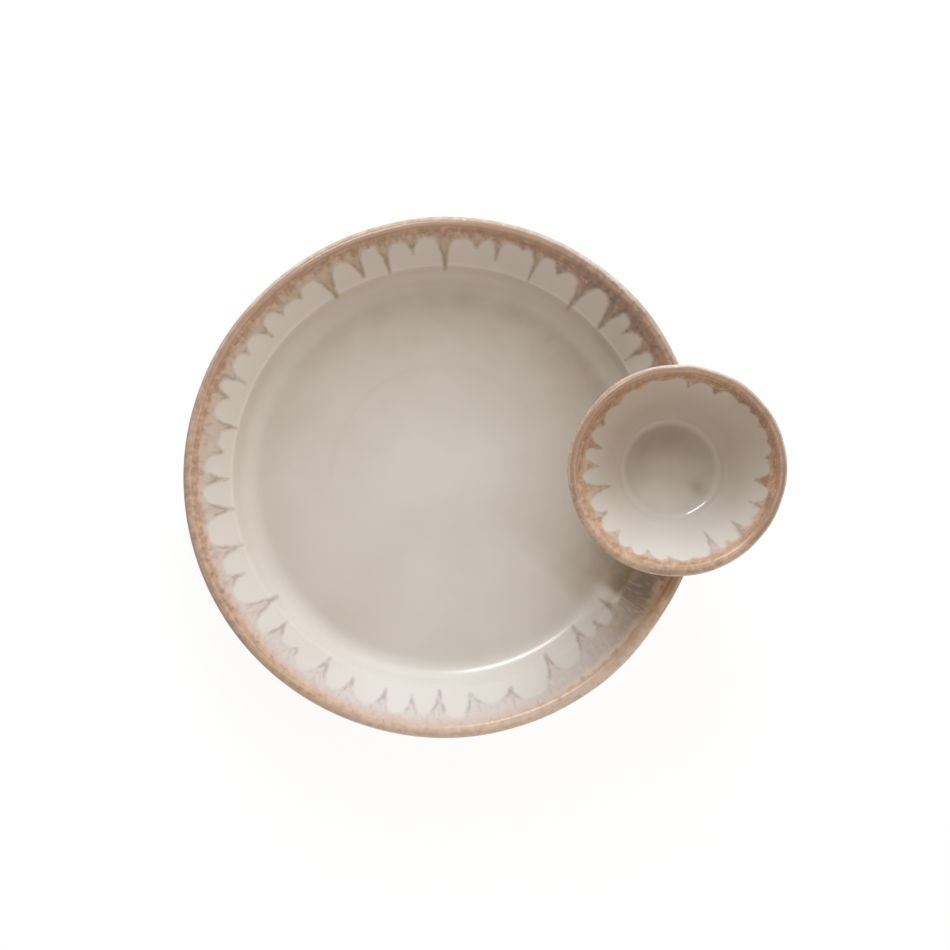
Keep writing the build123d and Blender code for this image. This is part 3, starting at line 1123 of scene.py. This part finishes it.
class MakeDipBowlFoot(Operator):
    """Cut the saddle foot of the dip bowl to ride on the platter's rim"""

    bl_idname = "chip_dip.dip_bowl_saddle_foot"
    bl_label = "Dip bowl saddle foot"

    def execute(self, context):
        foot, bowl = context.scene.foot_sizes, context.scene.bowl_sizes
        platter, tones = context.scene.platter_sizes, context.scene.glaze_colours
        top = bowl.underside + FUSED_FOOT
        line = self.saddle(foot, bowl, platter)
        margin = 3 * FOOT_GRID
        reach = bowl.heel + foot.flare + margin
        low = np.array((bowl.offset - reach, -reach, foot.stand - margin))
        high = np.array((bowl.offset + reach, reach, top + margin))
        x, y, z = np.meshgrid(*(np.arange(a, b, FOOT_GRID) for a, b in zip(low, high)), indexing="ij")
        body = self.body(np.hypot(x - bowl.offset, y), z, foot, bowl, top)
        body = both(body, distance_below(np.hypot(x, y), z, line), foot.edge_round)
        points, faces = skin_of(body, low, FOOT_GRID)

        # Glazed all over but for the cut edges and the standing edge.  The rim glaze ends far above it, and
        # the body glaze pooled evenly.
        x, y, z = points.T
        angles, down = np.arctan2(y, x - bowl.offset), (z - top) / MM
        bare = np.maximum(distance_below(np.hypot(x, y), z, line), foot.stand - z) / MM + WAX_REACH
        steady = {**dict.fromkeys(("run", *FIRED), 0), "down": 40, "edge": -9, "pool": 0.3}
        values = {label: np.full(len(points), value) for label, value in steady.items()}
        values.update(flow=turned(angles, bowl.heel / MM, down), bare=bare)
        piece = new_piece("glazed_saddle_foot", points, faces, values)
        material = glaze_material("foot_glaze", tones, FOOT_GLOSS, wax_line=True)
        take_over(piece, "dip_bowl_saddle_foot", "dip_bowl", material)
        return {"FINISHED"}

    def saddle(self, foot, bowl, platter):
        """The line of the cut: from the platter's floor along the flange, over the lip and straight down."""
        cove, ridge = cove_and_ridge(platter)
        cove_reach = platter.cove_round * tan(acos(unit(ridge - cove)[0]) / 2)
        inner = platter.cove_corner - cove_reach - foot.cove_gap
        outer = platter.radius + foot.hook_gap
        bridge = bowl.underside - foot.bridge
        below = foot.stand - 10 * MM  # so that the cut runs right through the standing edge
        corners = [
            (inner, below), (inner, foot.stand), (ridge[0], ridge[1] + foot.flange_gap),
            (onto_lip(ridge, platter)[0], bridge), (outer, bridge), (outer, below),
        ]
        return [np.array(corner) for corner in corners]

    def body(self, out, z, foot, bowl, top):
        """The foot before it is cut, as a distance field: a waisted ring."""
        share = (top - z) / (top - foot.stand)
        waisted = bowl.heel - 4 * foot.waist * share * (1 - share) + (foot.flare - foot.waist) * share**3
        thick = foot.wall + foot.flare * 0.5 * share**2
        ring = both(out - waisted, waisted - thick - out, foot.edge_round)
        ring = both(ring, foot.stand - z, foot.edge_round)
        return np.maximum(ring, z - top)


# ----------------------------------------
# Stage


class SetStage(Operator):
    """Set the floor, the lamps, the surroundings and the camera"""

    bl_idname = "chip_dip.stage"
    bl_label = "Stage"

    def execute(self, context):
        studio = context.scene.studio_settings
        self.floor()
        window = self.lamp(studio, "window")
        window.data.color = studio.window_colour
        window.visible_glossy = False
        self.lamp(studio, "glint").visible_diffuse = False
        self.surroundings(context, studio)
        self.camera(context, studio)
        context.scene.view_settings.view_transform = "Standard"
        return {"FINISHED"}

    def floor(self):
        mesh = bpy.data.meshes.new("studio_floor")
        corners = [(x * FLOOR_HALF, y * FLOOR_HALF, 0) for x, y in ((-1, -1), (1, -1), (1, 1), (-1, 1))]
        mesh.from_pydata(corners, [], [(0, 1, 2, 3)])
        mesh.materials.append(studio_floor_material())
        placed("studio_floor", mesh)

    def lamp(self, studio, name):
        """A lamp in a soft box, turned towards the middle of the platter."""
        parts = ("power", "azimuth", "zenith", "width", "height")
        watts, azimuth, zenith, width, height = (getattr(studio, f"{name}_{part}") for part in parts)
        data = bpy.data.lights.new(f"{name}_lamp", "AREA")
        data.shape = "RECTANGLE"
        data.size, data.size_y = width, height
        data.energy = watts
        lamp = placed(f"{name}_lamp", data)
        way = Vector((sin(zenith) * cos(azimuth), sin(zenith) * sin(azimuth), cos(zenith)))
        lamp.location = way * studio.lamp_distance
        lamp.rotation_euler = way.to_track_quat("Z", "Y").to_euler()
        return lamp

    def surroundings(self, context, studio):
        """Light from all round, stronger from some sides, and plain white where it is seen."""
        world = bpy.data.worlds.new("studio")
        context.scene.world = world
        nodes = Nodes(world)
        tilt = [share * studio.ambient for share in AMBIENT_TILT]
        way = nodes.join("ShaderNodeTexCoord", output="Generated")
        strength = nodes.join("ShaderNodeVectorMath", (way, tilt), "Value", operation="DOT_PRODUCT")
        strength = strength + AMBIENT_EVEN * studio.ambient
        lit = nodes.join("ShaderNodeBackground", {"Color": studio.ambient_colour, "Strength": strength})
        seen = nodes.join("ShaderNodeBackground", {"Color": (1.0, 1.0, 1.0), "Strength": 1.0})
        nodes.add("ShaderNodeOutputWorld", {"Surface": nodes.by_ray(lit, seen)})

    def camera(self, context, studio):
        data = bpy.data.cameras.new("camera")
        data.lens = studio.lens
        camera = placed("camera", data)
        camera.location = (studio.camera_x, studio.camera_y, studio.camera_height)
        camera.rotation_euler = (0, 0, studio.camera_turn)
        context.scene.camera = camera


# ----------------------------------------
# Add-on

PIECES = (MakePlatterDish, MakePlatterFootRing, MakeDipBowlCup, MakeDipBowlFoot, SetStage)
SETTINGS = {
    "platter_sizes": PlatterSizes,
    "bowl_sizes": BowlSizes,
    "foot_sizes": FootSizes,
    "glaze_colours": GlazeColours,
    "studio_settings": StudioSettings,
}


class ChipDipPanel(Panel):
    """Lists the pieces and the stage, and the settings that they read"""

    bl_idname = "VIEW3D_PT_chip_dip"
    bl_label = "Chip and Dip Server"
    bl_space_type = "VIEW_3D"
    bl_region_type = "UI"
    bl_category = "Chip and Dip"

    def draw(self, context):
        for piece in PIECES:
            self.layout.operator(piece.bl_idname, text=piece.bl_label)
        for name, group in SETTINGS.items():
            box = self.layout.box()
            box.label(text=group.__doc__)
            for setting in group.__annotations__:
                box.prop(getattr(context.scene, name), setting)


def register():
    for group in (*SETTINGS.values(), *PIECES, ChipDipPanel):
        bpy.utils.register_class(group)
    for name, group in SETTINGS.items():
        setattr(bpy.types.Scene, name, PointerProperty(type=group))


def unregister():
    for name in SETTINGS:
        delattr(bpy.types.Scene, name)
    for group in reversed((*SETTINGS.values(), *PIECES, ChipDipPanel)):
        bpy.utils.unregister_class(group)


def main():
    register()
    for piece in PIECES:
        family, name = piece.bl_idname.split(".")
        getattr(getattr(bpy.ops, family), name)()


if __name__ == "__main__":
    main()
